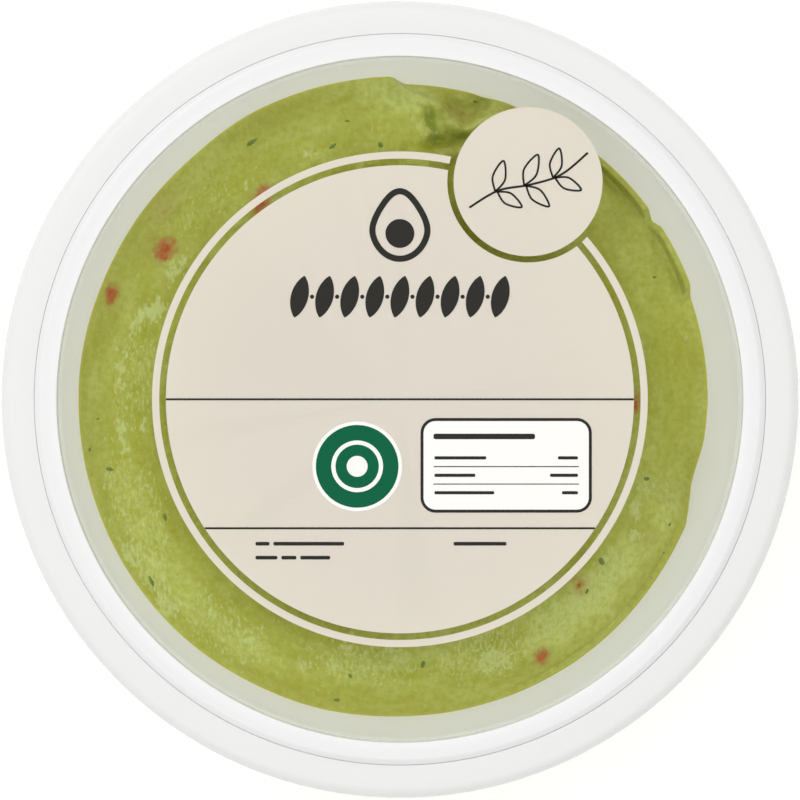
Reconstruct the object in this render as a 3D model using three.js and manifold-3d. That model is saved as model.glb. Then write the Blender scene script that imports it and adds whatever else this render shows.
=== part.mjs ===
// A small lidded tub of guacamole: a milky polypropylene tub, the paste inside it, a clear snap-in
// lid, and the three printed fields on the lid. Millimetres, +Z up, standing on the plane z = 0.
// Seen from above, +Y is the top of the print and +X its right-hand side.
import * as THREE from "three";
import { mergeVertices } from "three/addons/utils/BufferGeometryUtils.js";
import Module from "manifold-3d";

const wasm = await Module();
wasm.setup();

// Driving dimensions
const rimRadius = 40;
const totalHeight = 38;
const lidRadius = 36.6;
const panelRadius = 34.36;
const wallThickness = 0.7;
const wallSlope = 0.25;
const lidThickness = 0.6;
const printThickness = 0.12;
const pasteClearance = 0.3;
const plugClearance = 0.15;

// Levels, from the table up
const footRecess = 1;
const floorLevel = 2;
const ledgeLevel = totalHeight - 4.6;
const seatLevel = totalHeight - 1.1;
const rimTop = totalHeight - 0.45;
const panelTop = totalHeight - 2;
const panelUnderside = panelTop - lidThickness;
const skirtBottom = totalHeight - 5;

// Radii of the ledge and the mouth above it, and the slot round the lid
const ledgeRadius = 34.1;
const mouthRadius = 35.15;
const slotWidth = 0.25;
const roundSegments = 64;

// Inner radius of the tub's sloping wall at a height
const wallRadius = (z) => ledgeRadius - (ledgeLevel - z) * wallSlope;

const degrees = (angle) => (angle * Math.PI) / 180;

// An arc in the profile plane, from one angle to another, as a few points
function arc(centreX, centreY, radius, fromDegrees, toDegrees, steps = 4) {
  const points = [];
  for (let i = 0; i <= steps; i += 1) {
    const angle = degrees(fromDegrees + ((toDegrees - fromDegrees) * i) / steps);
    points.push([centreX + radius * Math.cos(angle), centreY + radius * Math.sin(angle)]);
  }
  return points;
}

// The rounded corner between a level and the sloping wall that would meet it at a given radius
function cornerArc(level, wallMeets, cornerRadius, steps) {
  const lean = (Math.atan(wallSlope) * 180) / Math.PI;
  const centre = wallMeets + cornerRadius * (wallSlope - Math.hypot(1, wallSlope));
  return arc(centre, level + cornerRadius, cornerRadius, -90, -lean, steps);
}

// A solid of revolution about Z from [radius, height] pairs
function turned(profile, segments = roundSegments) {
  const points = profile.map(([radius, height]) => new THREE.Vector2(radius, height));
  return new THREE.LatheGeometry(points, segments).rotateX(Math.PI / 2);
}

// A closed mesh as a manifold solid, and a manifold solid as a geometry
function solidFrom(geometry) {
  const bare = geometry.clone();
  bare.deleteAttribute("normal");
  bare.deleteAttribute("uv");
  const merged = mergeVertices(bare, 1e-4);
  return new wasm.Manifold(
    new wasm.Mesh({
      numProp: 3,
      vertProperties: merged.attributes.position.array,
      triVerts: new Uint32Array(merged.index.array),
    }),
  );
}

function geometryFrom(solid) {
  const mesh = solid.getMesh();
  const geometry = new THREE.BufferGeometry();
  geometry.setAttribute("position", new THREE.BufferAttribute(mesh.vertProperties, 3));
  geometry.setIndex(new THREE.BufferAttribute(mesh.triVerts, 1));
  geometry.computeVertexNormals();
  return geometry;
}

function part(name, geometry, color, roughness) {
  const material = new THREE.MeshStandardMaterial({ color, roughness, metalness: 0 });
  const mesh = new THREE.Mesh(geometry, material);
  mesh.name = name;
  return mesh;
}

// The tub: one moulding. A foot ring round a raised base, a sloping wall, a ledge that the next
// empty tub nests on, a short upright mouth, and a wide rim that turns down into a skirt.
function tub() {
  const outer = (z) => wallRadius(z) + wallThickness;
  const footRounding = 1.7;
  const footWidth = 1.4;
  const footSlope = 0.5;
  const footCorner = cornerArc(0, outer(0), footRounding, 4);
  const footInside = footCorner[0][0] - footWidth;
  const ledgeSlope = 0.4;
  const rimRounding = 1.15;
  const rimThickness = 1;
  const skirtThickness = 0.8;
  const floorRounding = 1.5;
  const profile = [
    [0, footRecess],
    [footInside - footSlope, footRecess],
    [footInside, 0],
    ...footCorner,
    [outer(ledgeLevel - ledgeSlope), ledgeLevel - ledgeSlope],
    [mouthRadius + wallThickness, ledgeLevel + ledgeSlope + 0.1],
    [mouthRadius + wallThickness, rimTop - rimThickness],
    [rimRadius - skirtThickness, rimTop - rimThickness],
    [rimRadius - skirtThickness, skirtBottom],
    [rimRadius, skirtBottom],
    ...arc(rimRadius - rimRounding, rimTop - rimRounding, rimRounding, 0, 90),
    [lidRadius + slotWidth, rimTop],
    [lidRadius + slotWidth, seatLevel],
    [mouthRadius, seatLevel],
    [mouthRadius, ledgeLevel + ledgeSlope],
    [ledgeRadius, ledgeLevel],
    ...cornerArc(floorLevel, wallRadius(floorLevel), floorRounding, 3).toReversed(),
    [0, floorLevel],
  ];
  return turned(profile);
}

// The lid: one clear moulding. A flat panel sunk below a solid ring that sits on the tub's seat.
function lid() {
  const plugRadius = mouthRadius - plugClearance;
  const plugChamfer = 0.4;
  const edgeRounding = 0.6;
  const innerRounding = 0.15;
  const draught = 0.22;
  const profile = [
    [0, panelUnderside],
    [plugRadius - plugChamfer, panelUnderside],
    [plugRadius, panelUnderside + plugChamfer],
    [plugRadius, seatLevel],
    [lidRadius, seatLevel],
    ...arc(lidRadius - edgeRounding, totalHeight - edgeRounding, edgeRounding, 0, 90),
    [panelRadius + draught + innerRounding, totalHeight],
    [panelRadius + draught, totalHeight - innerRounding],
    [panelRadius, panelTop],
    [0, panelTop],
  ];
  return turned(profile);
}

// The print on the lid: a disc inside a thin hoop, both cut back round a small badge.
const discRadius = 23.5;
const hoopInner = 24.17;
const hoopOuter = 24.89;
const badgeRadius = 7.48;
const badgeGap = 0.63;
const badgePlace = [12.87, 21.85];
const printSegments = 96;

function plate(radius, x, y, segments = printSegments, thickness = printThickness) {
  const geometry = new THREE.CylinderGeometry(radius, radius, thickness, segments);
  geometry.rotateX(Math.PI / 2);
  geometry.translate(x, y, panelTop + printThickness / 2);
  return solidFrom(geometry);
}

// A thicker plate, so that what it cuts is cut right through
const cutter = (radius, x, y) => plate(radius, x, y, printSegments, 4 * printThickness);

function printFields() {
  const bite = cutter(badgeRadius + badgeGap, ...badgePlace);
  const disc = plate(discRadius, 0, 0).subtract(bite);
  const hoop = plate(hoopOuter, 0, 0).subtract(cutter(hoopInner, 0, 0)).subtract(bite);
  const badge = plate(badgeRadius, ...badgePlace, 64);
  return { disc, hoop, badge };
}

// How high the paste stands against the wall, as [angle in degrees, height] round the tub. It was
// laid down as one turn of a swirl: it starts high near 92 degrees and sinks all the way round.
const wallHeights = [
  [0, 22.9],
  [18, 22.9],
  [52, 23.6],
  [70, 25.2],
  [88.8, 25.4],
  [92, 28.1],
  [115, 28],
  [133, 26.7],
  [152, 26.8],
  [178, 27.6],
  [222, 27.7],
  [250, 27],
  [275, 26],
  [300, 25.4],
  [335, 24.3],
  [345, 21.3],
  [354, 22.6],
];
const crownHeight = 31.2;
const swirlStart = 91;
const noseReach = 9;
const noseDepth = 2.3;

const smooth = (t) => t * t * (3 - 2 * t);
const ramp = (value, low, high) => smooth(Math.min(1, Math.max(0, (value - low) / (high - low))));

function heightAtWall(angle) {
  const turn = ((angle % 360) + 360) % 360;
  const last = wallHeights.length - 1;
  for (let i = 0; i <= last; i += 1) {
    const [from, low] = wallHeights[i];
    const [to, high] = i === last ? [360 + wallHeights[0][0], wallHeights[0][1]] : wallHeights[i + 1];
    if (turn >= from && turn < to) return low + (high - low) * smooth((turn - from) / (to - from));
  }
  return wallHeights[0][1];
}

// A rolled bead of paste that clings to the wall in two lengths, by angle
const beadHeight = 1.6;
const beadSpans = [
  [20, 34.5],
  [36, 54],
];
function beadAt(angle) {
  let share = 0;
  for (const [from, to] of beadSpans) {
    share = Math.max(share, ramp(angle, from - 1, from + 2) * (1 - ramp(angle, to - 1.5, to + 1)));
  }
  return share * beadHeight;
}

// A rounded ridge, or a groove if the height is negative, along a line of points
function along(x, y, line, width, height) {
  let nearest = Infinity;
  for (let i = 0; i + 1 < line.length; i += 1) {
    const [ax, ay] = line[i];
    const [bx, by] = line[i + 1];
    const length = (bx - ax) ** 2 + (by - ay) ** 2;
    const t = Math.min(1, Math.max(0, ((x - ax) * (bx - ax) + (y - ay) * (by - ay)) / length));
    nearest = Math.min(nearest, Math.hypot(x - ax - t * (bx - ax), y - ay - t * (by - ay)));
  }
  return height * Math.exp(-((nearest / width) ** 2));
}

// The fold where the swirl's nose lies over its own start: a brow above it, a crease down its near
// side, a ridge round a hollow, and a valley above a low lobe. Each is a line of [x, y] points.
const foldBrow = [
  [-0.4, 31.5],
  [1.5, 30.7],
  [2.8, 30.1],
  [3.7, 29.6],
];
const foldCrease = [
  [3, 29.3],
  [3.05, 28.4],
  [3.5, 27.2],
  [3.7, 26.2],
];
const foldRidge = [
  [4.2, 29.6],
  [5.2, 28.3],
  [6.2, 27.4],
  [7.2, 27.4],
  [8.4, 28.3],
  [10.3, 29.2],
];
const foldHollow = [
  [5.3, 29.7],
  [6.6, 28.9],
  [8.2, 29.9],
];
const foldValley = [
  [3, 25.8],
  [3.9, 26.1],
  [5.1, 26.3],
  [6.7, 26.5],
  [8, 27],
];
const foldLobe = [
  [4.8, 24.9],
  [6.4, 25.2],
  [8, 25.8],
];

// Where the surface of the paste ends against the wall
const pasteRadius = (angle) => wallRadius(heightAtWall(angle) + beadAt(angle)) - pasteClearance;

// Height of the paste at a point, given how far out the wall is at that angle
function pasteHeight(radius, angle, wallAt) {
  const inward = wallAt - radius;
  const leading = angle + noseReach * ramp(inward, 0, noseDepth) * (angle > 40 && angle < 140 ? 1 : 0);
  const edge = heightAtWall(leading);
  const turn = (((leading - swirlStart) % 360) + 360) % 360;
  const sunk = ramp(turn, 242, 262) * (1 - ramp(turn, 354, 359.9));
  const fullness = 5 - 2.8 * sunk;
  const share = Math.min(1, radius / wallAt);
  const body = edge + (crownHeight - edge) * (1 - share ** fullness);
  const x = radius * Math.cos(degrees(angle));
  const y = radius * Math.sin(degrees(angle));
  return (
    body +
    beadAt(angle) * (1 - ramp(inward, 0.5, 1.15)) +
    along(x, y, foldBrow, 0.7, 0.5) +
    along(x, y, foldCrease, 0.5, -0.9) +
    along(x, y, foldRidge, 0.8, 1.4) +
    along(x, y, foldHollow, 0.95, -1.4) +
    along(x, y, foldValley, 0.7, -1.1) +
    along(x, y, foldLobe, 0.9, 0.6)
  );
}

// Pieces mixed into the paste that break its surface: [angle, radius, length, width, heading].
// A chilli piece lies a little above the surface with its middle, a herb fleck a little below.
const chilliPieces = [
  [160.2, 31.7, 1.8, 1.1, 70],
  [147.6, 29, 2.3, 1.9, 60],
  [125, 24.8, 2.6, 1.1, 65],
  [314.6, 26.5, 1.4, 1.2, 60],
  [299, 30.2, 1.4, 1.1, 65],
  [0.3, 24.3, 1.6, 1.2, 90],
  [266.8, 24.3, 1.2, 1, 0],
];
const herbFlecks = [
  [120, 30.7, 1.1, 0.5, 30],
  [105.5, 26.6, 0.8, 0.7, 40],
  [194, 30.7, 1, 0.5, 170],
  [207, 27.1, 0.6, 0.5, 100],
  [216.6, 31.9, 0.9, 0.5, 110],
  [258.4, 31.6, 0.5, 0.4, 0],
  [322, 26.3, 1, 0.8, 120],
  [316.8, 28.2, 0.7, 0.6, 0],
  [275, 27.1, 0.7, 0.5, 80],
  [25.6, 29, 0.5, 0.4, 0],
];

const chilliLift = 0.05;
const fleckLift = -0.15;

function piece([angle, radius, length, width, heading], lift) {
  const halfThickness = 0.45;
  const geometry = new THREE.IcosahedronGeometry(1, 0);
  geometry.scale(length / 2, width / 2, halfThickness);
  geometry.rotateZ(degrees(heading));
  const wallAt = pasteRadius(angle);
  geometry.translate(
    radius * Math.cos(degrees(angle)),
    radius * Math.sin(degrees(angle)),
    pasteHeight(radius, angle, wallAt) + lift,
  );
  return solidFrom(geometry);
}

// The paste: a turned body whose rows are then drawn out to the wall and up to its surface. Before
// that, a row's radius is its share of the way out, and its level says what it is: -2 is the floor,
// -1 to below 0 the side, and 1 the top.
function paste() {
  const hiddenRows = [0, 0.22, 0.42, 0.58, 0.68];
  const shownRows = [0.74, 0.79, 0.83, 0.865, 0.895, 0.92, 0.94, 0.96, 0.976, 0.99, 1];
  const segments = 144;
  const underChamfer = 1.5;
  const bottomRadius = wallRadius(floorLevel) - underChamfer;
  const sideRows = [0, 0.5];
  const rows = [
    [0, -2],
    [1, -2],
    ...sideRows.map((share) => [1, share - 1]),
    ...[...hiddenRows, ...shownRows].toReversed().map((share) => [share, 1]),
  ];
  const geometry = turned(rows, segments);
  const position = geometry.attributes.position;
  for (let i = 0; i < position.count; i += 1) {
    const theta = Math.atan2(position.getY(i), position.getX(i));
    const angle = ((theta * 180) / Math.PI + 360) % 360;
    const share = Math.hypot(position.getX(i), position.getY(i));
    const row = position.getZ(i);
    const wallAt = pasteRadius(angle);
    let radius = share * bottomRadius;
    let height = floorLevel;
    if (row > 0.5) {
      radius = share * wallAt;
      height = pasteHeight(radius, angle, wallAt);
    } else if (row > -1.5) {
      const low = floorLevel + underChamfer;
      height = low + (pasteHeight(wallAt, angle, wallAt) - low) * (row + 1);
      radius = wallRadius(height) - pasteClearance;
    }
    position.setXYZ(i, radius * Math.cos(theta), radius * Math.sin(theta), height);
  }
  let solid = solidFrom(geometry);
  for (const chilli of chilliPieces) solid = solid.add(piece(chilli, chilliLift));
  for (const fleck of herbFlecks) solid = solid.add(piece(fleck, fleckLift));
  return solid;
}

const group = new THREE.Group();
const fields = printFields();
const milky = "#e9ebe6";
const clear = "#f4f6f2";
const cream = "#e1dbcb";
const avocado = "#a0a945";
group.add(part("tub", tub(), milky, 0.4));
group.add(part("guacamole", geometryFrom(paste()), avocado, 0.35));
group.add(part("lid", lid(), clear, 0.1));
group.add(part("print_disc", geometryFrom(fields.disc), cream, 0.6));
group.add(part("print_hoop", geometryFrom(fields.hoop), cream, 0.6));
group.add(part("print_badge", geometryFrom(fields.badge), cream, 0.6));

export default group;
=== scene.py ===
import math

import bmesh
import bpy
from mathutils import Matrix, Vector, noise


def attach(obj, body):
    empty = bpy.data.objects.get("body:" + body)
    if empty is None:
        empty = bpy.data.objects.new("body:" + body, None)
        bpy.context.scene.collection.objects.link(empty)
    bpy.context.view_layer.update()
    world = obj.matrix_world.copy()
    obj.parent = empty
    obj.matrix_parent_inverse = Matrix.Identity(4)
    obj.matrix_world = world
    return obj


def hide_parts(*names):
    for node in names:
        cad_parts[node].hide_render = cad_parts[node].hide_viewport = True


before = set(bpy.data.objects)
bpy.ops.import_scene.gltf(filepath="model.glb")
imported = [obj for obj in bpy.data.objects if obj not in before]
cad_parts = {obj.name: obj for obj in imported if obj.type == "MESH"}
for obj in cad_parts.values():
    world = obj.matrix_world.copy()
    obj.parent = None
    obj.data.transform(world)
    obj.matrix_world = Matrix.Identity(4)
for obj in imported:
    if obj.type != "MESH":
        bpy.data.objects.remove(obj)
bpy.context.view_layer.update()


# The tub: one injection moulding in natural polypropylene. A foot ring round a raised base, a
# thin sloping wall, a ledge that the next empty tub nests on, and a wide rim turned down into a
# skirt. Natural polypropylene is milky: light and the colour behind it come softly through.
MM = 0.001

RIM_RADIUS = 40
RIM_TOP = 37.55
RIM_THICKNESS = 1
SKIRT_BOTTOM = 33
SKIRT_THICKNESS = 0.8
SEAT_LEVEL = 36.9
LEDGE_LEVEL = 33.4
LEDGE_RADIUS = 34.1
LEDGE_SLOPE = 0.4
MOUTH_RADIUS = 35.15
LID_RADIUS = 36.62
LID_GAP = 0.05
LID_FIT = 0.01
GAP_DEPTH = (0.15, 0.17)
WALL = 0.7
WALL_SLOPE = 0.25
FLOOR_LEVEL = 2
FLOOR_ROUNDING = 1.5
BASE_LEVEL = 1
FOOT_WIDTH = 2.73
FOOT_SLOPE = 0.5
ROUND_STEPS = 256
MOULDED_CREASE = 35

scene = bpy.context.scene


def wall_radius(height):
    """Inner radius of the sloping wall at a height, in millimetres."""
    return LEDGE_RADIUS - (LEDGE_LEVEL - height) * WALL_SLOPE


def outer_radius(height):
    """Outer radius of the sloping wall at a height, in millimetres."""
    return wall_radius(height) + WALL


def linear(code):
    """An sRGB hex colour as linear RGBA."""
    parts = [int(code[i : i + 2], 16) / 255 for i in (1, 3, 5)]
    return [c / 12.92 if c <= 0.04045 else ((c + 0.055) / 1.055) ** 2.4 for c in parts] + [1]


def rounded(corners, steps=5):
    """A profile from (radius, height, rounding) corners, each corner drawn as an arc."""
    points = []
    for i, (radius, height, rounding) in enumerate(corners):
        corner = Vector((radius, height))
        if not rounding:
            points.append(corner)
            continue
        before = (Vector(corners[i - 1][:2]) - corner).normalized()
        after = (Vector(corners[(i + 1) % len(corners)][:2]) - corner).normalized()
        half = before.angle(after) / 2
        centre = corner + (before + after).normalized() * rounding / math.sin(half)
        start = (corner + before * rounding / math.tan(half) - centre).normalized()
        end = (corner + after * rounding / math.tan(half) - centre).normalized()
        for step in range(steps + 1):
            points.append(centre + start.slerp(end, step / steps) * rounding)
    return points


def turned(profile, steps=ROUND_STEPS):
    """A bmesh spun about Z from a profile of (radius, height) points in millimetres."""
    bm = bmesh.new()
    line = [bm.verts.new((radius * MM, 0, height * MM)) for radius, height in profile]
    edges = [bm.edges.new(pair) for pair in zip(line, line[1:])]
    bmesh.ops.spin(
        bm, geom=line + edges, axis=(0, 0, 1), cent=(0, 0, 0), angle=math.tau, steps=steps, use_merge=True
    )
    bmesh.ops.remove_doubles(bm, verts=bm.verts, dist=1e-6)
    bmesh.ops.recalc_face_normals(bm, faces=bm.faces)
    return bm


def piece(name, bm, finish, crease=MOULDED_CREASE):
    """A finished bmesh as a smooth-shaded piece with its sharp edges kept, riding on the body."""
    for edge in bm.edges:
        edge.smooth = edge.calc_face_angle(math.pi) < math.radians(crease)
    for face in bm.faces:
        face.smooth = True
    mesh = bpy.data.meshes.new(name)
    bm.to_mesh(mesh)
    bm.free()
    mesh.materials.append(finish)
    made = bpy.data.objects.new(name, mesh)
    scene.collection.objects.link(made)
    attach(made, "root")
    return made


def material(name):
    """A new node material with nothing in it but its output."""
    made = bpy.data.materials.new(name)
    made.use_nodes = True
    made.node_tree.nodes.clear()
    made.node_tree.nodes.new("ShaderNodeOutputMaterial")
    return made


def node(owner, kind, links=None, values=None, **settings):
    """Adds a node: links joins its inputs to other nodes' sockets, values sets the others."""
    tree = owner.node_tree
    made = tree.nodes.new(kind)
    for key, setting in settings.items():
        setattr(made, key, setting)
    for key, value in (values or {}).items():
        made.inputs[key].default_value = value
    for key, socket in (links or {}).items():
        tree.links.new(socket, made.inputs[key])
    return made


def finish_with(owner, shader):
    """Joins a shader to the material's output."""
    output = next(n for n in owner.node_tree.nodes if n.type == "OUTPUT_MATERIAL")
    owner.node_tree.links.new(shader, output.inputs["Surface"])


def from_axis(owner):
    """How far each point of a piece lies from the tub's axis, in metres."""
    place = node(owner, "ShaderNodeTexCoord").outputs["Object"]
    apart = node(owner, "ShaderNodeSeparateXYZ", {"Vector": place})
    flat = node(owner, "ShaderNodeCombineXYZ", {"X": apart.outputs["X"], "Y": apart.outputs["Y"]})
    return node(owner, "ShaderNodeVectorMath", {0: flat.outputs[0]}, operation="LENGTH").outputs["Value"]


# Natural polypropylene, moulded: a satin skin that ripples slightly where the melt flowed, over
# about 11 mm, on a milky body. Much light comes through the thin wall, little through the rim.
milky = material("milky_polypropylene")
place = node(milky, "ShaderNodeTexCoord").outputs["Object"]
flow = node(milky, "ShaderNodeTexNoise", {"Vector": place}, {"Scale": 90, "Detail": 3}).outputs["Fac"]
sheen = node(
    milky,
    "ShaderNodeMapRange",
    {"Value": flow},
    {"From Min": 0.3, "From Max": 0.7, "To Min": 0.3, "To Max": 0.42},
)
ripple = node(milky, "ShaderNodeBump", {"Height": flow}, {"Strength": 0.03, "Distance": 0.0002})
satin = node(
    milky,
    "ShaderNodeBsdfPrincipled",
    {"Roughness": sheen.outputs["Result"], "Normal": ripple.outputs["Normal"]},
    {"Base Color": linear("#ececeb"), "IOR": 1.49, "Specular IOR Level": 0.4},
)
through = node(milky, "ShaderNodeBsdfTranslucent", values={"Color": linear("#fdfbf9")})
share = node(
    milky,
    "ShaderNodeMapRange",
    {"Value": from_axis(milky)},
    {"From Min": 35.3 * MM, "From Max": 36 * MM, "To Min": 0.715, "To Max": 0.12},
)
milk = node(
    milky,
    "ShaderNodeMixShader",
    {0: share.outputs["Result"], 1: satin.outputs[0], 2: through.outputs[0]},
)
finish_with(milky, milk.outputs[0])

# Radius, height and rounding of each corner, up the outside from the base and down the inside
foot_inside = outer_radius(0) - FOOT_WIDTH
tub_corners = [
    (0, BASE_LEVEL, 0),
    (foot_inside - FOOT_SLOPE, BASE_LEVEL, 0.2),
    (foot_inside, 0, 0.15),
    (outer_radius(0), 0, 1.7),
    (outer_radius(LEDGE_LEVEL - LEDGE_SLOPE), LEDGE_LEVEL - LEDGE_SLOPE, 0.4),
    (MOUTH_RADIUS + WALL, LEDGE_LEVEL + 0.5, 0.4),
    (MOUTH_RADIUS + WALL, RIM_TOP - RIM_THICKNESS, 0.5),
    (RIM_RADIUS - SKIRT_THICKNESS, RIM_TOP - RIM_THICKNESS, 0.5),
    (RIM_RADIUS - SKIRT_THICKNESS, SKIRT_BOTTOM, 0.25),
    (RIM_RADIUS, SKIRT_BOTTOM, 0.25),
    (RIM_RADIUS, RIM_TOP, 1.15),
    (LID_RADIUS + LID_GAP, RIM_TOP, 0.04),
    (LID_RADIUS + LID_GAP, RIM_TOP - GAP_DEPTH[0], 0),
    (LID_RADIUS + LID_FIT, RIM_TOP - GAP_DEPTH[1], 0),
    (LID_RADIUS + LID_FIT, SEAT_LEVEL, 0),
    (MOUTH_RADIUS, SEAT_LEVEL, 0.15),
    (MOUTH_RADIUS, LEDGE_LEVEL + LEDGE_SLOPE, 0.15),
    (LEDGE_RADIUS, LEDGE_LEVEL, 0.25),
    (wall_radius(FLOOR_LEVEL), FLOOR_LEVEL, FLOOR_ROUNDING),
    (0, FLOOR_LEVEL, 0),
]
tub = piece("tub_moulding", turned(rounded(tub_corners)), milky)
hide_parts("tub")


# The paste: mashed avocado, spooned in as one turn of a swirl. It starts high at the top, sinks
# all the way round, and its nose folds over its own start. It is moist and soft, smooth where the
# spoon passed, and rougher where it stuck to the lid and pulled away again; there it is also painted
# paler, a painted highlight for the shine on that rough wet skin.

# How high it stands against the wall, by direction in degrees
WALL_HEIGHTS = [
    (0, 22.9),
    (18, 22.9),
    (52, 23.6),
    (70, 25.2),
    (88.8, 25.4),
    (92, 28.1),
    (115, 28.0),
    (133, 26.7),
    (152, 26.8),
    (178, 27.6),
    (222, 27.7),
    (250, 27.0),
    (275, 26.0),
    (300, 25.4),
    (335, 24.3),
    (345, 21.3),
    (354, 22.6),
    (360, 22.9),
]
CROWN_HEIGHT = 31.2

# Where the swirl starts, and how far round from there it sinks and comes up again, in degrees
SWIRL_START = 91
SUNK_FROM = (242, 262)
SUNK_TO = (354, 359.9)
NOSE_REACH = 9
NOSE_DEPTH = 2.3

# The bead and the curled lip along the wall, from one direction to another
BEADS = [(20, 34.5), (36, 54)]
BEAD_HEIGHT = 1.6
LIP = (284, 338)
LIP_RISE = 0.35

# The fold at the nose: lines that it rises along, or sinks along, with a width and a height
FOLD = [
    ([(4.2, 29.6), (5.2, 28.3), (6.2, 27.4), (7.2, 27.4), (8.4, 28.3), (10.3, 29.2)], 0.8, 1.4),
    ([(5.3, 29.7), (6.6, 28.9), (8.2, 29.9)], 0.95, -1.4),
    ([(-0.4, 31.5), (1.5, 30.7), (2.8, 30.1), (3.7, 29.6)], 0.7, 0.5),
    ([(3.0, 29.3), (3.05, 28.4), (3.5, 27.2), (3.7, 26.2)], 0.5, -0.9),
    ([(3.0, 25.8), (3.9, 26.1), (5.1, 26.3), (6.7, 26.5), (8.0, 27.0)], 0.7, -1.1),
    ([(4.8, 24.9), (6.4, 25.2), (8.0, 25.8)], 0.9, 0.6),
]


def ramp(value, low, high):
    """0 below low, 1 above high, and a smooth rise between them."""
    t = min(1, max(0, (value - low) / (high - low)))
    return t * t * (3 - 2 * t)


def height_at_wall(angle):
    """How high the paste stands against the wall in a direction."""
    angle %= 360
    for (start, low), (end, high) in zip(WALL_HEIGHTS, WALL_HEIGHTS[1:]):
        if angle < end:
            return low + (high - low) * ramp(angle, start, end)


def bead_at(angle):
    """The rolled bead of paste that clings to the wall in two lengths."""
    return BEAD_HEIGHT * max(ramp(angle, a - 1, a + 2) * (1 - ramp(angle, b - 1.5, b + 1)) for a, b in BEADS)


def bell(distance, width):
    """1 at no distance, falling away smoothly over about the width."""
    return math.exp(-((distance / width) ** 2))


def along(x, y, line, width, height):
    """A rounded ridge, or a groove if height is negative, along a line of points."""
    spot = Vector((x, y))
    nearest = min(
        (spot - a.lerp(b, min(1, max(0, (spot - a).dot(b - a) / (b - a).length_squared)))).length
        for a, b in zip(map(Vector, line), map(Vector, line[1:]))
    )
    return height * bell(nearest, width)


def paste_height(radius, angle, wall_at):
    """Height of the paste, from how far out a point and the wall are at that angle."""
    inward = wall_at - radius
    leading = angle + (NOSE_REACH * ramp(inward, 0, NOSE_DEPTH) if 40 < angle < 140 else 0)
    edge = height_at_wall(leading)
    turn = (leading - SWIRL_START) % 360
    sunk = ramp(turn, *SUNK_FROM) * (1 - ramp(turn, *SUNK_TO))
    share = min(1, radius / wall_at)
    # A full mound bends down late, near the wall, and a sunk one all the way out
    body = edge + (CROWN_HEIGHT - edge) * (1 - share ** (5 - 2.8 * sunk))
    x = radius * math.cos(math.radians(angle))
    y = radius * math.sin(math.radians(angle))
    height = body + bead_at(angle) * (1 - ramp(inward, 0.5, 1.15))
    if 55 < angle < 105 and radius > 20:
        for crest in FOLD:
            height += along(x, y, *crest)
    # The edge that curls up against the wall, with a shallow trough behind it
    lip = ramp(angle, LIP[0], LIP[0] + 12) * (1 - ramp(angle, LIP[1] - 2, LIP[1]))
    height += LIP_RISE * lip * (bell(inward, 0.35) - 0.5 * bell(inward - 0.66, 0.2))
    # Lumps of 1.5 to 5 mm and a grain of 0.3 to 0.6 mm
    lumps = noise.noise(Vector((x, y, 0)) * 0.22) * 0.5 + noise.noise(Vector((x, y, 7)) * 0.6) * 0.2
    grain = noise.noise(Vector((x, y, 3)) * 1.7) * 0.07 + noise.noise(Vector((x, y * 0.5, 9)) * 3.4) * 0.04
    return height + lumps * ramp(inward, 0, 2.5) + grain * ramp(inward, 0, 0.8)


# Where the paste pulled away from the lid: rougher skin, painted paler as a painted highlight for its
# shine. Broad and weak first: place, half length and half width, heading in degrees, strength
PULLED_SKIN_AND_SHEEN = [
    ((-26.5, -12.0), (13.0, 4.4), -68, 0.58),
    ((-17.5, -23.5), (9.5, 4.0), -38, 0.58),
    ((-4.0, -26.8), (9.0, 3.4), -6, 0.62),
    ((-26.8, 3.0), (10.0, 3.6), 86, 0.5),
    ((9.5, -25.4), (9.0, 4.0), 20, 0.66),
    ((-20.0, 20.0), (9.0, 3.6), 45, 0.42),
    ((-25.1, 8.9), (3.0, 1.6), 36, 1.1),
    ((-22.6, 13.4), (2.3, 0.8), 72, 1.0),
    ((-26.6, 7.4), (2.4, 1.2), 60, 0.9),
    ((-28.3, 2.4), (4.6, 0.7), 87, 1.0),
    ((-28.1, -4.1), (4.2, 0.55), 96, 0.9),
    ((-26.1, -0.6), (5.0, 1.3), 95, 0.6),
    ((-25.1, -17.7), (8.5, 2.0), -55, 0.8),
    ((-27.3, -15.7), (2.0, 1.2), -60, 1.1),
    ((-23.6, -21.2), (2.2, 1.4), -50, 1.0),
    ((-27.9, -11.6), (1.5, 1.2), -60, 0.7),
    ((-19.1, -21.7), (1.4, 1.0), -30, 0.8),
    ((-15.6, -24.4), (2.0, 0.9), -20, 1.0),
    ((-16.3, -26.0), (2.8, 0.7), -20, 0.7),
    ((-9.8, -27.3), (1.3, 0.9), 0, 1.0),
    ((-6.5, -27.2), (1.8, 0.9), 0, 0.9),
    ((-5.1, -24.4), (0.9, 1.9), 0, 0.9),
    ((-0.1, -25.9), (2.2, 0.9), 0, 0.8),
    ((4.5, -26.9), (1.4, 1.6), 0, 0.8),
    ((9.5, -26.4), (3.2, 2.0), 20, 1.0),
    ((8.5, -24.7), (2.2, 1.2), 15, 0.8),
    ((16.0, -22.6), (4.4, 3.0), 33, 0.75),
    ((19.2, -20.2), (4.4, 3.1), 42, 0.8),
    ((22.0, -16.7), (4.0, 2.6), 55, 0.75),
    ((24.1, -11.2), (1.0, 1.8), 0, 1.0),
    ((25.1, -8.9), (1.0, 1.4), 0, 0.8),
    ((24.3, -13.8), (1.5, 0.7), 10, 0.9),
    ((-8.7, 24.8), (1.5, 0.8), 40, 0.8),
    ((-15.5, 21.7), (0.6, 0.5), 0, 0.8),
    ((2.3, 27.4), (1.9, 1.3), -40, 0.75),
]

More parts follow.
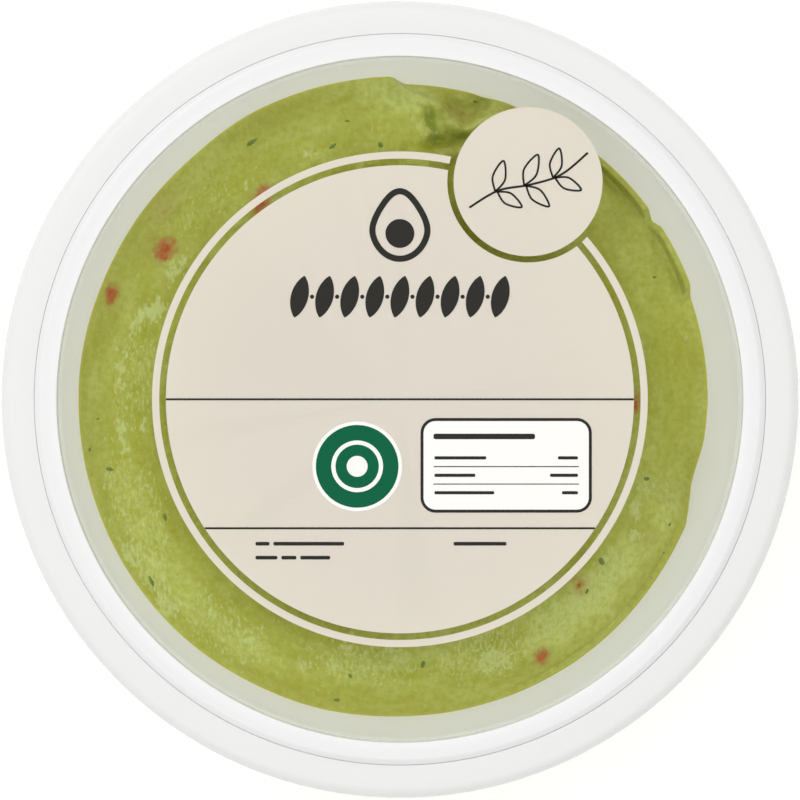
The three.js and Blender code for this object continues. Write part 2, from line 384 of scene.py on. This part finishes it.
# Juice of the chilli in the paste round its pieces, in the same terms
STAINS = [
    ((-23.9, 15.2), (1.55, 1.95), -25, 1.6),
    ((-24.2, 15.6), (2.6, 2.4), 60, 0.35),
    ((-29.3, 10.6), (0.95, 1.6), -20, 1.6),
    ((-29.0, 10.4), (1.6, 1.8), 0, 0.3),
    ((-24.0, 19.4), (2.8, 2.2), 45, 0.4),
    ((-13.9, 20.3), (1.35, 2.4), -28, 1.5),
    ((14.4, -26.1), (1.2, 1.5), -30, 1.1),
    ((18.2, -18.9), (1.3, 1.6), 20, 0.75),
    ((6.3, 29.2), (2.4, 1.5), -25, 0.35),
    ((25.2, -14.4), (1.6, 1.4), 0, 0.25),
    ((5.6, 25.2), (2.6, 1.3), 10, 0.3),
    ((-1.6, -24.0), (1.4, 0.8), 0, 0.4),
    ((23.9, -0.5), (1.0, 2.2), 0, 0.9),
    ((21.8, 9.8), (0.8, 1.8), 0, 0.35),
]

# Painted light: patches painted paler where the paste would catch a highlight or lies in shade, among
# them the nose's top, the shaded right side and the print's shadow to the south. In the same terms
PAINTED_LIGHT = [
    ((0.5, 30.4), (5.5, 2.4), -12, 1.2),
    ((-24.0, -16.5), (8.0, 3.0), -55, 0.3),
    ((2.7, 29.9), (1.5, 1.2), -30, 1.5),
    ((7.5, 28.2), (5.0, 3.0), -10, 0.8),
    ((5.6, 25.2), (2.6, 1.3), 10, 0.9),
    ((25.5, -7.0), (11.0, 4.5), 100, 0.5),
    ((23.0, 16.0), (9.0, 4.0), -55, 0.3),
    ((15.8, -22.8), (4.8, 3.4), 33, 1.35),
    ((19.3, -20.1), (4.8, 3.5), 42, 1.35),
    ((22.3, -16.4), (4.4, 3.0), 55, 1.2),
    ((2.0, -24.6), (8.5, 3.2), 4, 0.5),
    ((12.6, -20.6), (7.0, 3.4), 33, 0.65),
]

# Painted shade down in the fold: the paste is coloured darker along these lines, where shade falls in
# the crease. A line, its width and its strength
PAINTED_FOLD_SHADE = [
    ([(3.0, 28.9), (3.15, 28.1), (3.5, 27.3)], 0.42, 0.75),
    ([(3.4, 27.0), (3.5, 26.2), (2.8, 25.6)], 0.6, 0.35),
    ([(3.6, 25.9), (5.2, 26.2), (7.0, 26.7)], 0.4, 0.6),
]


def within(x, y, patches, wander=1.0, steepness=1.7):
    """How strongly a point lies in any of some soft oval patches, whose outlines wander."""
    spot = Vector((x, y, 5))
    x += wander * (noise.noise(spot * 0.9) * 0.9 + noise.noise(spot * 3.1) * 0.35)
    spot.z = 14
    y += wander * (noise.noise(spot * 0.9) * 0.9 + noise.noise(spot * 3.1) * 0.35)
    best = 0.0
    for (middle_x, middle_y), (length, width), heading, strength in patches:
        across, up = x - middle_x, y - middle_y
        if abs(across) + abs(up) < 1.5 * (length + width):
            run = across * math.cos(math.radians(heading)) + up * math.sin(math.radians(heading))
            rise = up * math.cos(math.radians(heading)) - across * math.sin(math.radians(heading))
            best = max(best, strength * min(1, steepness * (1 - math.hypot(run / length, rise / width))))
    return best


# Rows of the mesh by how far they lie in from the wall: close at the wall, even where the paste
# shows, and wide apart below the print. The last row closes at the middle.
IN_WALL = 0.05
SOFT_CREASE = 80
SECTORS = 900
SIDE_ROWS = 6
RIM_STEP = 0.065
OPEN_FROM = 1.04
HIDDEN_FROM = 9.4
HIDDEN_TO = 32
MIDDLE = 99
inward_rows = [i * RIM_STEP for i in range(16)]
inward_rows += [OPEN_FROM + (HIDDEN_FROM - OPEN_FROM) * i / 54 for i in range(54)]
inward_rows += [HIDDEN_FROM + (HIDDEN_TO - HIDDEN_FROM) * i / 8 for i in range(8)]
rows = [("floor", 0), ("floor", 1)] + [("side", i / SIDE_ROWS) for i in range(SIDE_ROWS)]
rows += [("top", inward) for inward in inward_rows + [MIDDLE]]

# A flat grid, one row for each height and one column for each direction, wrapped into the tub
bm = bmesh.new()
bmesh.ops.create_grid(bm, x_segments=SECTORS, y_segments=len(rows) - 1, size=0.5)
from_wall = bm.verts.layers.float.new("from_wall")
pulled_skin_and_sheen = bm.verts.layers.float.new("pulled_skin_and_sheen")
chilli_juice = bm.verts.layers.float.new("chilli_juice")
tone_and_painted_light = bm.verts.layers.float.new("tone_and_painted_light")
painted_fold_shade = bm.verts.layers.float.new("painted_fold_shade")
floor_radius = wall_radius(FLOOR_LEVEL) - FLOOR_ROUNDING
for vert in bm.verts:
    theta = (vert.co.x + 0.5) * math.tau
    angle = math.degrees(theta) % 360
    kind, step = rows[round((vert.co.y + 0.5) * (len(rows) - 1))]
    top = height_at_wall(angle) + bead_at(angle)
    wall_at = wall_radius(top) + IN_WALL
    radius, height = step * floor_radius, FLOOR_LEVEL - IN_WALL
    if kind == "top":
        radius = max(0, wall_at - step)
        height = paste_height(radius, angle, wall_at)
    elif kind == "side":
        height = FLOOR_LEVEL + FLOOR_ROUNDING + (top - FLOOR_LEVEL - FLOOR_ROUNDING) * step
        radius = wall_radius(height) + IN_WALL
    x, y = radius * math.cos(theta), radius * math.sin(theta)
    if kind == "top" and step < HIDDEN_FROM:
        # Painted light kept per point for the material: a paler sheen on the pulled skin, and shade in the
        # fold
        vert[pulled_skin_and_sheen] = within(x, y, PULLED_SKIN_AND_SHEEN)
        vert[chilli_juice] = within(x, y, STAINS, 0.3, 1.0)
        if 75 < angle < 90:
            vert[painted_fold_shade] = max(along(x, y, *dark) for dark in PAINTED_FOLD_SHADE)
        height += 0.05 * vert[pulled_skin_and_sheen] * noise.noise(Vector((x, y * 0.5, 2)) * 3.5)
    vert[from_wall] = wall_at - radius
    # Broad and narrow bands of tone that follow the spoon round the tub
    bands = noise.noise(Vector((4 * math.cos(theta), 4 * math.sin(theta), 0.5 * radius)))
    bands += 0.6 * noise.noise(Vector((12 * math.cos(theta), 12 * math.sin(theta), 1.3 * radius)))
    tone = 0.5 + 0.6 * bands
    # Painted light: the tone is made paler towards the wall, where the paste lies lower in shade, and in the
    # patches above
    vert[tone_and_painted_light] = tone + 0.3 * ramp(radius, 26, 30) + within(x, y, PAINTED_LIGHT)
    vert.co = (x * MM, y * MM, height * MM)
bmesh.ops.remove_doubles(bm, verts=bm.verts, dist=1e-7)
bmesh.ops.recalc_face_normals(bm, faces=bm.faces)

# Mashed avocado: moist flesh with a soft shine, in cells of about 0.7 mm and in strands of about
# 0.3 by 0.7 mm that the lid drew out. Each tone in the list is laid over the ones before it: how
# much of it there is, the range in which it comes in, how far it covers, and its colour.
avocado = material("mashed_avocado")
place = node(avocado, "ShaderNodeTexCoord").outputs["Object"]
drawn = node(avocado, "ShaderNodeMapping", {"Vector": place}, {"Scale": (1, 0.45, 1)}).outputs["Vector"]
strands = node(
    avocado, "ShaderNodeTexNoise", {"Vector": drawn}, {"Scale": 3400, "Detail": 3, "Distortion": 0.5}
).outputs["Fac"]
cells = node(avocado, "ShaderNodeTexNoise", {"Vector": place}, {"Scale": 1500, "Detail": 3}).outputs["Fac"]
tone, fold, pale, wall, juice = (
    node(avocado, "ShaderNodeAttribute", attribute_name=name).outputs["Fac"]
    for name in ("tone_and_painted_light", "painted_fold_shade", "pulled_skin_and_sheen", "from_wall", "chilli_juice")
)
# Painted sheen: the pulled skin and the drawn strands together, for the paler highlight tone
sheen_strands = node(avocado, "ShaderNodeMath", {0: pale, 2: strands}, {1: 0.45}, operation="MULTIPLY_ADD")
bled = node(avocado, "ShaderNodeMath", {0: juice, 2: cells}, {1: 0.8}, operation="MULTIPLY_ADD")
# The tone with its painted light, as the mix between dark and pale flesh
lightness = node(avocado, "ShaderNodeMapRange", {"Value": tone}, {"From Max": 1.7})
flesh = node(
    avocado,
    "ShaderNodeMix",
    {"Factor": lightness.outputs["Result"]},
    {"A": linear("#aca82e"), "B": linear("#ccd275")},
    data_type="RGBA",
).outputs["Result"]
for amount, low, high, cover, colour in [
    (cells, 0.38, 0.68, 0.5, "#a1a42f"),
    # Painted shade in the fold
    (fold, 0.0, 1.0, 1.0, "#7f8c2c"),
    # Painted highlight on the strands, and on the skin where the paste pulled from the lid
    (strands, 0.6, 0.72, 0.5, "#c8cb78"),
    (sheen_strands.outputs[0], 0.72, 0.98, 0.8, "#cfd68c"),
    # Painted highlight: a thin brighter yellow-green band along the paste's edge at the wall
    (wall, 0.4, 0.1, 0.6, "#c9c84a"),
    (juice, 0.0, 0.8, 0.7, "#ae8a4e"),
    (bled.outputs[0], 0.8, 1.45, 0.95, "#bc4b1e"),
]:
    share = node(
        avocado,
        "ShaderNodeMapRange",
        {"Value": amount},
        {"From Min": low, "From Max": high, "To Max": cover},
    )
    flesh = node(
        avocado,
        "ShaderNodeMix",
        {"Factor": share.outputs["Result"], "A": flesh},
        {"B": linear(colour)},
        data_type="RGBA",
    ).outputs["Result"]
relief = node(avocado, "ShaderNodeMath", {0: cells, 1: strands}, operation="ADD").outputs[0]
mash = node(avocado, "ShaderNodeBump", {"Height": relief}, {"Strength": 0.35, "Distance": 0.0002})
moist = node(
    avocado,
    "ShaderNodeMapRange",
    {"Value": cells},
    {"From Min": 0.35, "From Max": 0.65, "To Min": 0.3, "To Max": 0.5},
)
body = node(
    avocado,
    "ShaderNodeBsdfPrincipled",
    {
        "Base Color": flesh,
        "Roughness": moist.outputs["Result"],
        "Normal": mash.outputs["Normal"],
    },
    {"IOR": 1.38},
)
finish_with(avocado, body.outputs[0])
guacamole = piece("avocado_paste", bm, avocado, SOFT_CREASE)
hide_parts("guacamole")


# Chilli and coriander: chopped pieces stirred into the paste, of which the uppermost break its
# surface. Each lies half sunk, so paste laps round its edges.

# Direction and distance from the axis, length, width, heading
CHILLI = [
    (147.4, 28.4, 1.1, 0.6, 60),
    (148.9, 27.7, 0.6, 0.5, 20),
    (160.2, 31.0, 1.0, 0.5, 70),
    (124.6, 24.6, 1.4, 0.5, 62),
    (299.0, 29.8, 1.1, 0.7, 65),
    (314.0, 26.2, 0.6, 0.4, 60),
    (358.8, 24.0, 0.9, 0.4, 90),
]
CORIANDER = [
    (119.9, 30.1, 1.4, 0.4, 30),
    (104.9, 26.5, 0.8, 0.4, 40),
    (100.7, 28.7, 0.5, 0.2, 10),
    (94.3, 25.8, 0.7, 0.4, -60),
    (193.6, 30.2, 1.0, 0.4, 170),
    (183.7, 30.7, 0.3, 0.2, 0),
    (189.2, 31.9, 0.3, 0.4, 0),
    (206.6, 26.6, 0.8, 0.4, 100),
    (216.1, 31.2, 1.3, 0.4, 110),
    (258.1, 31.2, 0.7, 0.4, 0),
    (259.8, 28.5, 0.3, 0.5, 30),
    (275.0, 26.9, 0.8, 0.4, 80),
    (314.2, 27.2, 0.6, 0.3, 60),
    (321.4, 26.1, 1.1, 0.5, 120),
    (335.1, 30.3, 0.5, 0.2, 60),
    (329.8, 31.1, 0.3, 0.2, 0),
    (342.0, 26.3, 0.8, 0.4, 20),
    (76.0, 31.3, 0.7, 0.2, -10),
    (25.6, 28.8, 0.5, 0.2, 0),
]


def chopped(pieces, thickness, sink):
    """A bmesh of small uneven pieces that lie in the surface of the paste."""
    bm = bmesh.new()
    for angle, radius, length, width, heading in pieces:
        wall_at = wall_radius(height_at_wall(angle) + bead_at(angle)) + IN_WALL
        height = paste_height(radius, angle, wall_at) - sink
        lump = bmesh.ops.create_icosphere(bm, subdivisions=3, radius=0.5)["verts"]
        for vert in lump:
            vert.co *= 1 + 0.35 * noise.noise(vert.co * 3.1 + Vector((angle, radius, 0)))
        bmesh.ops.scale(bm, vec=(length * MM, width * MM, thickness * MM), verts=lump)
        bmesh.ops.rotate(bm, matrix=Matrix.Rotation(math.radians(heading), 3, "Z"), verts=lump)
        x = radius * math.cos(math.radians(angle))
        y = radius * math.sin(math.radians(angle))
        bmesh.ops.translate(bm, vec=(x * MM, y * MM, height * MM), verts=lump)
    return bm


def wet_skin(name, colour, shaded, scale):
    """The glossy skin of a chopped piece, uneven in colour over half a millimetre to one."""
    made = material(name)
    place = node(made, "ShaderNodeTexCoord").outputs["Object"]
    cells = node(made, "ShaderNodeTexNoise", {"Vector": place}, {"Scale": scale, "Detail": 3}).outputs["Fac"]
    mixed = node(
        made,
        "ShaderNodeMix",
        {"Factor": cells},
        {"A": linear(colour), "B": linear(shaded)},
        data_type="RGBA",
    )
    dimple = node(made, "ShaderNodeBump", {"Height": cells}, {"Strength": 0.3, "Distance": 0.0001})
    skin = node(
        made,
        "ShaderNodeBsdfPrincipled",
        {"Base Color": mixed.outputs["Result"], "Normal": dimple.outputs["Normal"]},
        {"Roughness": 0.35, "IOR": 1.38, "Subsurface Weight": 0.1, "Subsurface Scale": 0.0004},
    )
    finish_with(made, skin.outputs[0])
    return made


# Red chilli keeps a waxy shine and turns orange where it is cut. Coriander leaf is thin and lies
# almost flat on the paste.
red_chilli = wet_skin("red_chilli", "#cd6228", "#b2712e", 1300)
chilli = piece("chilli_pieces", chopped(CHILLI, 0.5, 0.15), red_chilli, SOFT_CREASE)
leaf_green = wet_skin("coriander_leaf", "#667c36", "#869746", 1500)
herbs = piece("coriander_flecks", chopped(CORIANDER, 0.35, 0.05), leaf_green, SOFT_CREASE)


# The lid: one clear moulding that snaps into the tub's mouth. Its panel is thin and flat. The
# ring round it is thick and, like all thick clear polypropylene, a little cloudy.
LID_TOP = 38
PANEL_TOP = 36
PANEL_UNDERSIDE = 35.4
PANEL_RADIUS = 34.36
PANEL_DRAFT = 0.02
PLUG_CLEARANCE = 0.15
PLUG_RADIUS = MOUTH_RADIUS - PLUG_CLEARANCE
FLANGE_BEVEL = (0.55, 0.34)

# Radius, height and rounding of each corner, from the middle of the underside out and back
lid_corners = [
    (0, PANEL_UNDERSIDE, 0),
    (PLUG_RADIUS, PANEL_UNDERSIDE, 0.35),
    (PLUG_RADIUS, SEAT_LEVEL, 0.05),
    (LID_RADIUS, SEAT_LEVEL, 0.1),
    (LID_RADIUS, LID_TOP - FLANGE_BEVEL[1], 0.06),
    (LID_RADIUS - FLANGE_BEVEL[0], LID_TOP, 0.5),
    (PANEL_RADIUS + PANEL_DRAFT, LID_TOP, 0.12),
    (PANEL_RADIUS, PANEL_TOP, 0.03),
    (0, PANEL_TOP, 0),
]

# Clear polypropylene, moulded against a polished tool: a sharp gloss on the outside, and no tint
# to speak of in the thin panel. The thick ring scatters light and looks almost white.
clear = material("clear_polypropylene")
ring = node(
    clear,
    "ShaderNodeMapRange",
    {"Value": from_axis(clear)},
    {"From Min": (PANEL_RADIUS - 0.03) * MM, "From Max": (PANEL_RADIUS - 0.01) * MM},
)
bare = node(clear, "ShaderNodeBsdfTransparent", values={"Color": linear("#f9fbf8")})
shine = node(clear, "ShaderNodeBsdfGlossy", values={"Color": linear("#ffffff"), "Roughness": 0.04})
facing = node(clear, "ShaderNodeFresnel", values={"IOR": 1.49})
inside = node(clear, "ShaderNodeNewGeometry").outputs["Backfacing"]
gloss = node(
    clear, "ShaderNodeMath", {0: facing.outputs[0], 1: inside}, operation="SUBTRACT", use_clamp=True
)
panel = node(clear, "ShaderNodeMixShader", {0: gloss.outputs[0], 1: bare.outputs[0], 2: shine.outputs[0]})
surface = node(
    clear,
    "ShaderNodeBsdfPrincipled",
    values={"Base Color": linear("#f8f8f8"), "Roughness": 0.25, "IOR": 1.49, "Specular IOR Level": 0.4},
)
glow = node(clear, "ShaderNodeBsdfTranslucent", values={"Color": linear("#fefefe")})
milk = node(clear, "ShaderNodeMixShader", {1: surface.outputs[0], 2: glow.outputs[0]}, {0: 0.12})
cloudy = node(clear, "ShaderNodeMixShader", {1: milk.outputs[0], 2: bare.outputs[0]}, {0: 0.06})
lid_body = node(
    clear,
    "ShaderNodeMixShader",
    {0: ring.outputs["Result"], 1: panel.outputs[0], 2: cloudy.outputs[0]},
)
finish_with(clear, lid_body.outputs[0])
lid = piece("snap_in_lid", turned(rounded(lid_corners)), clear)
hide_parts("lid")


# The print: cream ink laid on the lid's panel as a disc, a thin hoop and a round badge. Ink is
# flat and even, and not quite opaque, so what lies below shows through it very faintly.
PRINT_TOP = 36.12
DISC_RADIUS = 23.5
HOOP = (24.17, 24.89)
BADGE_RADIUS = 7.48
BADGE_PLACE = (12.87, 21.85)
BITE_RADIUS = 8.11


def ink(name, colour, backlit):
    """A flat printing ink: backlit is the share of its light that comes through from behind."""
    made = material(name)
    place = node(made, "ShaderNodeTexCoord").outputs["Object"]
    # The film's grain is far finer in truth, and is drawn at 0.7 mm so that it shows at all
    grain = node(made, "ShaderNodeTexNoise", {"Vector": place}, {"Scale": 1500, "Detail": 2})
    rough = node(
        made,
        "ShaderNodeMapRange",
        {"Value": grain.outputs["Fac"]},
        {"To Min": 0.44, "To Max": 0.56},
    )
    film = node(
        made,
        "ShaderNodeBsdfPrincipled",
        {"Roughness": rough.outputs["Result"]},
        {"Base Color": linear(colour), "IOR": 1.48, "Specular IOR Level": 0.1},
    )
    glow = node(made, "ShaderNodeBsdfTranslucent", values={"Color": linear(colour)})
    lit = node(made, "ShaderNodeMixShader", {1: film.outputs[0], 2: glow.outputs[0]}, {0: backlit})
    finish_with(made, lit.outputs[0])
    return made


def plate(low, high, steps=ROUND_STEPS):
    """A bmesh of a thin flat ring, or of a disc if low is 0."""
    corners = [(low, PANEL_TOP), (high, PANEL_TOP), (high, PRINT_TOP), (low, PRINT_TOP)]
    if low:
        corners.append(corners[0])
    return turned(corners, steps)


def bitten(bm, name, paint):
    """Cuts a printed plate back round the badge."""
    cutter = bpy.data.objects.new("bite", bpy.data.meshes.new("bite"))
    round_bm = bmesh.new()
    bmesh.ops.create_cone(
        round_bm,
        cap_ends=True,
        segments=192,
        radius1=BITE_RADIUS * MM,
        radius2=BITE_RADIUS * MM,
        depth=2 * MM,
    )
    bmesh.ops.translate(round_bm, vec=Vector((*BADGE_PLACE, PANEL_TOP)) * MM, verts=round_bm.verts)
    round_bm.to_mesh(cutter.data)
    round_bm.free()
    scene.collection.objects.link(cutter)
    made = piece(name, bm, paint)
    cut = made.modifiers.new("bite", "BOOLEAN")
    cut.operation = "DIFFERENCE"
    cut.solver = "EXACT"
    cut.object = cutter
    bpy.context.view_layer.update()
    whole = bpy.data.meshes.new_from_object(made.evaluated_get(bpy.context.evaluated_depsgraph_get()))
    made.modifiers.clear()
    made.data = whole
    bpy.data.objects.remove(cutter)
    return made


cream = ink("cream_ink", "#f0e9dd", 0.3)
disc = bitten(plate(0, DISC_RADIUS), "printed_disc", cream)
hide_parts("print_disc")
hoop = bitten(plate(*HOOP), "printed_hoop", cream)
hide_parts("print_hoop")
badge_bm = plate(0, BADGE_RADIUS, 160)
bmesh.ops.translate(badge_bm, vec=(BADGE_PLACE[0] * MM, BADGE_PLACE[1] * MM, 0), verts=badge_bm.verts)
badge = piece("printed_badge", badge_bm, cream)
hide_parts("print_badge")


# The second printing: dark, green and white ink over the cream. Two ruled lines, a halved fruit
# and a band of leaves above them, a round mark and a ruled panel between them, a few dashes
# below, and a sprig on the badge. All of it is plain ornament.
INK_FILM = 0.012
INK_HOLD = 0.006


def inked(name, bm, paint, coat):
    """Raises flat shapes into a film of ink, as one piece. Coat 1 lies on the cream."""
    low = PRINT_TOP + INK_FILM * (coat - 1) - INK_HOLD
    bmesh.ops.triangulate(bm, faces=bm.faces)
    bmesh.ops.translate(bm, vec=(0, 0, low), verts=bm.verts)
    raised = bmesh.ops.extrude_face_region(bm, geom=bm.faces[:])["geom"]
    lifted = [part for part in raised if isinstance(part, bmesh.types.BMVert)]
    bmesh.ops.translate(bm, vec=(0, 0, INK_FILM + INK_HOLD), verts=lifted)
    bmesh.ops.scale(bm, vec=(MM, MM, MM), verts=bm.verts)
    bmesh.ops.recalc_face_normals(bm, faces=bm.faces)
    made = piece(name, bm, paint)
    return made


def oval(bm, centre, width, height, segments=96):
    """A filled oval. Returns its face."""
    verts = bmesh.ops.create_circle(bm, cap_ends=True, segments=segments, radius=0.5)["verts"]
    bmesh.ops.scale(bm, vec=(width, height, 1), verts=verts)
    bmesh.ops.translate(bm, vec=(*centre, 0), verts=verts)
    return verts[0].link_faces[0]


def leaf(bm, centre, width, length, heading):
    """A filled leaf with a point at each end."""
    verts = bmesh.ops.create_circle(bm, cap_ends=True, segments=40, radius=1)["verts"]
    for vert in verts:
        vert.co.x *= abs(vert.co.x) ** 0.6
    bmesh.ops.scale(bm, vec=(width / 2, length / 2, 1), verts=verts)
    bmesh.ops.rotate(bm, matrix=Matrix.Rotation(math.radians(heading), 3, "Z"), verts=verts)
    bmesh.ops.translate(bm, vec=(*centre, 0), verts=verts)


def bar(bm, centre, width, height, corner=0.0):
    """A filled bar, its corners rounded if a radius is given. Returns its face."""
    made = bmesh.ops.create_grid(bm, x_segments=1, y_segments=1, size=0.5)["verts"]
    bmesh.ops.scale(bm, vec=(width, height, 1), verts=made)
    bmesh.ops.translate(bm, vec=(*centre, 0), verts=made)
    if not corner:
        return made[0].link_faces[0]
    cut = bmesh.ops.bevel(
        bm, geom=made, offset=corner, affect="VERTICES", segments=8, profile=0.5, material=-1
    )
    return max(cut["verts"][0].link_faces, key=lambda face: face.calc_area())


def hollowed(bm, face, line):
    """Cuts the middle out of a filled shape, leaving a line of that width."""
    bmesh.ops.inset_region(bm, faces=[face], thickness=line, use_boundary=True, use_even_offset=True)
    bmesh.ops.delete(bm, geom=[face], context="FACES")


def stroke(bm, points, width, steps=24):
    """A pen line of even width through points, smoothed between them."""
    path = []
    ends = [points[0], *points, points[-1]]
    for a, b, c, d in zip(ends, ends[1:], ends[2:], ends[3:]):
        for step in range(steps):
            t = step / steps
            bend = (2 * a - 5 * b + 4 * c - d) * t**2 + (3 * b - a - 3 * c + d) * t**3
            path.append(0.5 * (2 * b + (c - a) * t + bend))
    path.append(points[-1])
    last = len(path) - 1
    for vert in bmesh.ops.create_grid(bm, x_segments=last, y_segments=1, size=0.5)["verts"]:
        i = round((vert.co.x + 0.5) * last)
        run = (path[min(i + 1, last)] - path[max(i - 1, 0)]).normalized()
        side = Vector((-run.y, run.x)) * (1 if vert.co.y > 0 else -1) * width / 2
        vert.co = (*(path[i] + side), 0)


dark = bmesh.new()

# The two ruled lines, from edge to edge of the disc
for line in (0, -12.95):
    chord = 2 * math.sqrt(DISC_RADIUS**2 - line**2) - 0.04
    bar(dark, (0, line), chord, 0.2)

# The halved fruit: a pear outline round a stone
EMBLEM = (0, 17.5)
pear = oval(dark, (0, 0), 6.3, 7.4)
for vert in pear.verts:
    vert.co.x *= 1 - 0.28 * ramp(vert.co.y, -1.2, 3.7)
    vert.co.x += EMBLEM[0]
    vert.co.y += EMBLEM[1]
hollowed(dark, pear, 0.62)
oval(dark, (EMBLEM[0], EMBLEM[1] - 0.85), 2.9, 2.9, 64)

# The band of leaves, with a dot between each two
BAND_LEVEL = 10.3
LEAF_PITCH = 2.52
for i in range(-4, 5):
    leaf(dark, (i * LEAF_PITCH, BAND_LEVEL), 1.75, 4.3, -14)
for i in range(-4, 4):
    oval(dark, ((i + 0.5) * LEAF_PITCH, BAND_LEVEL), 0.42, 0.42, 24)

# The ruled panel's outline and lines
PANEL = (10.67, -6.63)
PANEL_SIZE = (17.2, 9.5)
hollowed(dark, bar(dark, PANEL, *PANEL_SIZE, 1.5), 0.3)
bar(dark, (PANEL[0] - 2.2, PANEL[1] + 2.9), 10.2, 0.55, 0.2)
for i, (left, right) in enumerate([(5.2, 2.0), (4.1, 2.8), (6.0, 1.6)]):
    line = PANEL[1] + 0.75 - 1.75 * i
    bar(dark, (PANEL[0] - 7.2 + left / 2, line), left, 0.32, 0.12)
    bar(dark, (PANEL[0] + 7.2 - right / 2, line), right, 0.32, 0.12)
    if i:
        bar(dark, (PANEL[0], line + 0.87), 14.6, 0.1)

# The dashes below
for start, end, line in [
    (-14.5, -13.1, -14.5),
    (-12.7, -5.6, -14.5),
    (-14.5, -12.3, -15.9),
    (-11.9, -10.4, -15.9),
    (-10.0, -7.0, -15.9),
    (5.4, 10.7, -14.5),
]:
    bar(dark, ((start + end) / 2, line), end - start, 0.36, 0.14)

# The sprig on the badge: a stem, then each leaf as a loop from its root on the stem
STEM = [(-5.9, -2.6), (-3.0, -0.9), (0.2, -0.3), (3.3, 0.7), (6.0, 2.9)]
stroke(dark, [Vector(BADGE_PLACE) + Vector(point) for point in STEM], 0.22)
for x, y, heading, length in [
    (-3.3, -1.0, 75, 3.2),
    (-3.1, -1.0, -32, 2.9),
    (-0.4, -0.4, 66, 3.4),
    (-0.2, -0.4, -42, 3.1),
    (2.5, 0.4, 78, 3.0),
    (2.7, 0.4, -25, 2.9),
]:
    way = Vector((math.cos(math.radians(heading)), math.sin(math.radians(heading)))) * length
    side = Vector((-way.y, way.x)) * 0.2
    root = Vector(BADGE_PLACE) + Vector((x, y))
    belly = root + way * 0.45
    stroke(dark, [root, belly + side, root + way, belly - side, root], 0.2)
inked("dark_printing", dark, ink("dark_ink", "#2b2a27", 0), 2)

# The round mark: green on white, with a plain ring and dot
MARK = (-4.29, -6.73)
white = bmesh.new()
oval(white, MARK, 9.0, 9.0)
bar(white, PANEL, PANEL_SIZE[0] - 0.1, PANEL_SIZE[1] - 0.1, 1.45)
chalk = ink("white_ink", "#fdfcf8", 0.1)
inked("white_printing", white, chalk, 1)
green = bmesh.new()
oval(green, MARK, 8.3, 8.3)
inked("green_printing", green, ink("green_ink", "#005e3d", 0), 2)
fine_white = bmesh.new()
hollowed(fine_white, oval(fine_white, MARK, 5.2, 5.2, 72), 0.42)
oval(fine_white, MARK, 2.1, 2.1, 48)
inked("white_overprinting", fine_white, chalk, 3)


# The floor, the light and the camera: a pale studio sweep under a soft, even light, seen from
# straight above. The paper is lit a little from within, so it stays white under the even light.
floor_bm = bmesh.new()
bmesh.ops.create_grid(floor_bm, x_segments=1, y_segments=1, size=3)
paper = material("white_studio_paper")
matt = node(
    paper,
    "ShaderNodeBsdfPrincipled",
    values={
        "Base Color": linear("#fafafa"),
        "Roughness": 0.9,
        "Emission Color": linear("#ffffff"),
        "Emission Strength": 0.24,
    },
)
finish_with(paper, matt.outputs[0])
floor_mesh = bpy.data.meshes.new("studio_floor")
floor_bm.to_mesh(floor_mesh)
floor_bm.free()
floor_mesh.materials.append(paper)
floor = bpy.data.objects.new("studio_floor", floor_mesh)
scene.collection.objects.link(floor)

# The light is a wide soft ring overhead, dark in its middle where the camera looks through
sky = bpy.data.worlds.new("studio_air")
sky.use_nodes = True
air = sky.node_tree
towards = air.nodes.new("ShaderNodeTexCoord")
height = air.nodes.new("ShaderNodeSeparateXYZ")
glow = air.nodes.new("ShaderNodeValToRGB")
air.links.new(towards.outputs["Generated"], height.inputs[0])
air.links.new(height.outputs["Z"], glow.inputs["Fac"])
air.links.new(glow.outputs["Color"], air.nodes["Background"].inputs["Color"])
AMBIENT = 0.35
SKY = [(0.0, AMBIENT), (0.80, AMBIENT), (0.88, 1.0), (0.988, 1.0), (0.995, 0.0)]
ramp_points = glow.color_ramp.elements
for spot, _ in SKY[2:]:
    ramp_points.new(spot)
for point, (spot, level) in zip(ramp_points, SKY):
    point.position = spot
    point.color = (level, level, level, 1)
air.nodes["Background"].inputs["Strength"].default_value = 1.85
scene.world = sky

# One square softbox from the upper left, aimed at the tub
SOFTBOX_PLACE = (-0.3, 0.35, 0.6)
TUB_MIDDLE = (0, 0, 0.03)
lamp = bpy.data.lights.new("key", "AREA")
lamp.size = 0.3
lamp.energy = 1.1
key = bpy.data.objects.new("key", lamp)
key.location = SOFTBOX_PLACE
key.rotation_euler = (Vector(TUB_MIDDLE) - Vector(SOFTBOX_PLACE)).to_track_quat("-Z", "Y").to_euler()
scene.collection.objects.link(key)

# The rim just fills the frame's width, as seen from 0.7 m above it
CAMERA_PLACE = (0.00001, -0.00007, 0.7375)
VIEW_WIDTH = 0.08016
SENSOR = 36
camera = bpy.data.cameras.new("camera")
camera.sensor_width = SENSOR
camera.lens = SENSOR * (CAMERA_PLACE[2] - RIM_TOP * MM) / VIEW_WIDTH
camera.clip_start = 0.01
camera_object = bpy.data.objects.new("camera", camera)
camera_object.location = CAMERA_PLACE
scene.collection.objects.link(camera_object)
scene.camera = camera_object
scene.view_settings.view_transform = "Standard"
